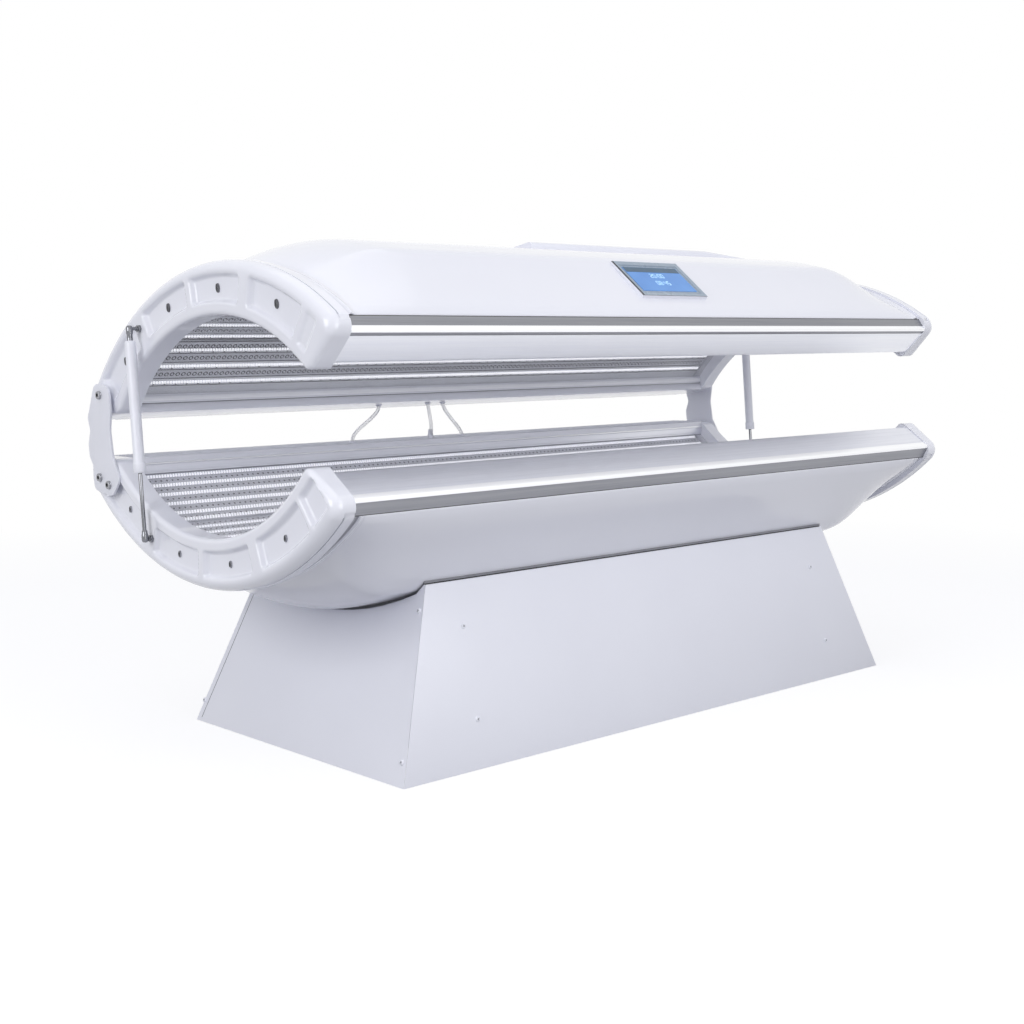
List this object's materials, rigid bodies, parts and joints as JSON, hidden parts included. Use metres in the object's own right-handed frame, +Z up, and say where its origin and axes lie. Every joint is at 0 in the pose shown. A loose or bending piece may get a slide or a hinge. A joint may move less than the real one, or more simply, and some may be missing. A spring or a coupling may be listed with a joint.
{
  "type": "collagen light therapy bed",
  "caption": "Clamshell light therapy bed: curved lower bed on a flared base, hinged canopy held by gas struts, LED boards behind clear acrylic, and a touch screen.",
  "frame": {"origin": "on the floor under the middle of the bed's length and depth, on the underside of the base frame", "axes": "+X along the bed to the end on the right seen from the open front, -Y out of the open front, +Z up"},
  "size_m": [1.976, 0.8575, 1.0405],
  "materials": {
    "gloss_white": "glossy moulded white",
    "powder_white": "satin white powder coat",
    "frame_board": "white painted board",
    "aluminium": "satin extruded aluminium",
    "steel": "bright plated steel",
    "acrylic": "clear gloss acrylic sheet",
    "board_silver": "silver coated circuit board with small light chips",
    "screen_blue": "blue lit glass display",
    "bezel_grey": "blue grey gloss plastic",
    "dark_plastic": "matt black plastic",
    "circuit_green": "green circuit board",
    "cable_white": "white cable sheath"
  },
  "bodies": {
    "bed": {"base_frame": "frame_board", "base_front_panel": "powder_white", "base_left_panel": "powder_white", "base_rear_panel": "powder_white", "base_right_panel": "powder_white", "bed_acrylic": "acrylic", "bed_end_cap_left": "gloss_white", "bed_end_cap_right": "gloss_white", "bed_front_rail": "aluminium", "bed_led_board_1": "board_silver", "bed_led_board_2": "board_silver", "bed_led_board_3": "board_silver", "bed_led_board_4": "board_silver", "bed_led_board_5": "board_silver", "bed_led_tray": "aluminium", "bed_rear_rail": "aluminium", "bed_shell": "gloss_white", "canopy_cable_1": "cable_white", "canopy_cable_2": "cable_white", "canopy_cable_3": "cable_white", "hinge_bolt_left_1": "steel", "hinge_bolt_left_2": "steel", "hinge_bolt_right_1": "steel", "hinge_bolt_right_2": "steel", "hinge_plate_left": "powder_white", "hinge_plate_right": "powder_white", "lower_ball_stud_left": "steel", "lower_ball_stud_right": "steel", "power_inlet": "dark_plastic", "power_supply": "aluminium"},
    "canopy": {"canopy_acrylic": "acrylic", "canopy_end_cap_left": "gloss_white", "canopy_end_cap_right": "gloss_white", "canopy_front_rail": "aluminium", "canopy_led_board_1": "board_silver", "canopy_led_board_2": "board_silver", "canopy_led_board_3": "board_silver", "canopy_led_board_4": "board_silver", "canopy_led_board_5": "board_silver", "canopy_led_tray": "aluminium", "canopy_rear_rail": "aluminium", "canopy_shell": "gloss_white", "canopy_top_cover": "gloss_white", "control_board": "circuit_green", "fan_frame_1": "dark_plastic", "fan_frame_2": "dark_plastic", "pivot_bolt_left": "steel", "pivot_bolt_right": "steel", "screen_bezel": "bezel_grey", "screen_display": "screen_blue", "upper_ball_stud_left": "steel", "upper_ball_stud_right": "steel"},
    "strut_rod_left": {"strut_rod_left": "steel"},
    "strut_rod_right": {"strut_rod_right": "steel"},
    "strut_cylinder_left": {"strut_cylinder_left": "gloss_white"},
    "strut_cylinder_right": {"strut_cylinder_right": "gloss_white"},
    "fan_rotor_1": {"fan_rotor_1": "dark_plastic"},
    "fan_rotor_2": {"fan_rotor_2": "dark_plastic"},
    "power_rocker": {"power_rocker": "dark_plastic"}
  },
  "joints": [
    {"name": "canopy_hinge", "type": "hinge", "parent": "bed", "child": "canopy", "pos_m": [0, 0.36601, 0.71226], "axis": [-1, 0, 0], "range_deg": [-11, 34], "deforming": ["canopy_cable_1", "canopy_cable_2", "canopy_cable_3"]},
    {"name": "strut_rod_left_pivot", "type": "hinge", "parent": "bed", "child": "strut_rod_left", "pos_m": [-0.9755, 0.1798, 0.43157], "axis": [-1, 0, 0], "range_deg": [-4, 11.5]},
    {"name": "strut_cylinder_left_pivot", "type": "hinge", "parent": "canopy", "child": "strut_cylinder_left", "pos_m": [-0.9755, 0.21882, 0.84834], "axis": [-1, 0, 0], "range_deg": [-24, 8.5]},
    {"name": "strut_rod_right_pivot", "type": "hinge", "parent": "bed", "child": "strut_rod_right", "pos_m": [0.9755, 0.1798, 0.43157], "axis": [-1, 0, 0], "range_deg": [-4, 11.5]},
    {"name": "strut_cylinder_right_pivot", "type": "hinge", "parent": "canopy", "child": "strut_cylinder_right", "pos_m": [0.9755, 0.21882, 0.84834], "axis": [-1, 0, 0], "range_deg": [-24, 8.5]},
    {"name": "fan_1_spin", "type": "hinge", "parent": "canopy", "child": "fan_rotor_1", "pos_m": [0.14, 0.22122, 0.97737], "axis": [0, 0.1908, 0.9816], "continuous": true},
    {"name": "fan_2_spin", "type": "hinge", "parent": "canopy", "child": "fan_rotor_2", "pos_m": [0.44, 0.22122, 0.97737], "axis": [0, 0.1908, 0.9816], "continuous": true},
    {"name": "power_rocker_tilt", "type": "hinge", "parent": "bed", "child": "power_rocker", "pos_m": [-0.418, 0.31184, 0.08748], "axis": [-1, 0, 0], "range_deg": [0, 16]}
  ],
  "couplings": [
    {"joint": "strut_rod_left_pivot", "follows": "canopy_hinge", "ratio": 0.3155},
    {"joint": "strut_cylinder_left_pivot", "follows": "canopy_hinge", "ratio": -0.6845},
    {"joint": "strut_rod_right_pivot", "follows": "canopy_hinge", "ratio": 0.3155},
    {"joint": "strut_cylinder_right_pivot", "follows": "canopy_hinge", "ratio": -0.6845}
  ]
}
